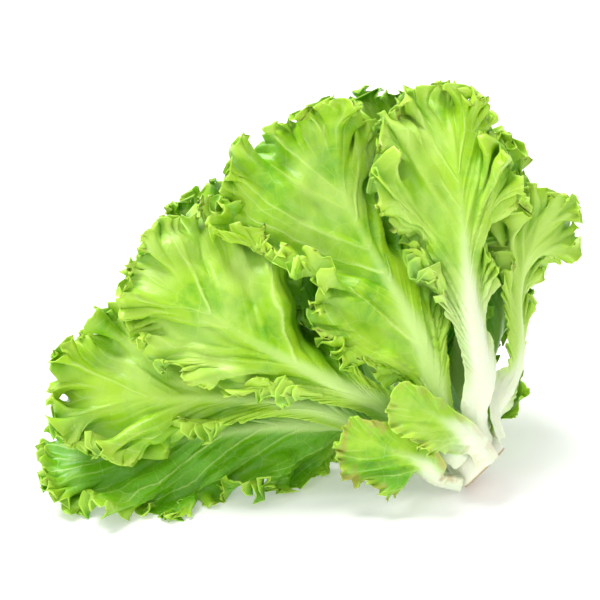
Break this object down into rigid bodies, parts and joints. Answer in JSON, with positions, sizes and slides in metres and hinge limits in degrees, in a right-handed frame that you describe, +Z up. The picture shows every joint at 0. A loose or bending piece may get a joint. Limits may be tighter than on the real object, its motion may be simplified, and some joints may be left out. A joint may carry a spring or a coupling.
{
  "type": "green leaf lettuce",
  "caption": "Loose head of green leaf lettuce lying on its side, with separate ruffled leaves round a short cut stem.",
  "frame": {"origin": "middle of the head's box, on the surface that it lies on", "axes": "+Z up; +X from the leaf tips on the left to the cut stem on the right; the viewer looks along +Y"},
  "size_m": [0.309, 0.1862, 0.2184],
  "materials": {
    "outer_leaf": "waxy green leaf with pale ribs",
    "heart_leaf": "waxy pale green leaf",
    "stem_white": "moist pale stem, browned at the cut"
  },
  "bodies": {
    "root": {"stem": "stem_white", "leaf_foot_left": "outer_leaf", "leaf_foot_right": "outer_leaf", "leaf_foot_front": "outer_leaf", "leaf_far_low": "outer_leaf", "leaf_right_outer": "outer_leaf", "leaf_top_front": "outer_leaf", "leaf_far_right": "outer_leaf", "leaf_far_left": "outer_leaf", "leaf_mid_front": "outer_leaf", "leaf_right_inner": "outer_leaf", "leaf_left_front": "outer_leaf", "leaf_back_top": "outer_leaf", "leaf_left_lower": "outer_leaf", "leaf_back_left": "outer_leaf", "leaf_left_floor": "outer_leaf", "leaf_heart_high": "heart_leaf", "leaf_heart_low": "heart_leaf"}
  },
  "joints": []
}
